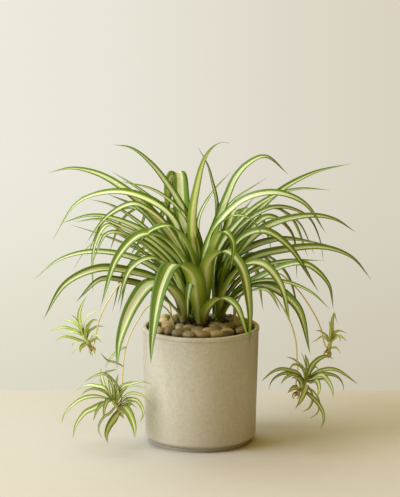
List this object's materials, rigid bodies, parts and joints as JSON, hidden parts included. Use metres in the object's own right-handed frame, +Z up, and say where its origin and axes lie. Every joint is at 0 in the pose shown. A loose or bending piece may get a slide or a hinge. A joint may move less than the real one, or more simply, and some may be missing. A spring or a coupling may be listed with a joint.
{
  "type": "potted spider plant",
  "caption": "Variegated spider plant with arching striped leaves and hanging plantlets, in a cylindrical stoneware pot topped with river pebbles.",
  "frame": {"origin": "middle of the pot's flat underside", "axes": "+Z up, +X to the viewer's right, +Y to the back, away from the viewer"},
  "size_m": [0.428, 0.3442, 0.386],
  "materials": {
    "stoneware": "satin",
    "soil": "matte",
    "pebble": "satin",
    "leaf": "satin",
    "runner": "satin"
  },
  "bodies": {
    "root": {"pot": "stoneware", "soil": "soil", "pebbles": "pebble", "shoot_front": "leaf", "shoot_middle": "leaf", "shoot_left": "leaf", "shoot_right": "leaf", "shoot_back_left": "leaf", "shoot_back_right": "leaf", "runner_lower_left": "runner", "runner_upper_left": "runner", "runner_lower_right": "runner", "runner_upper_right": "runner"}
  },
  "joints": []
}
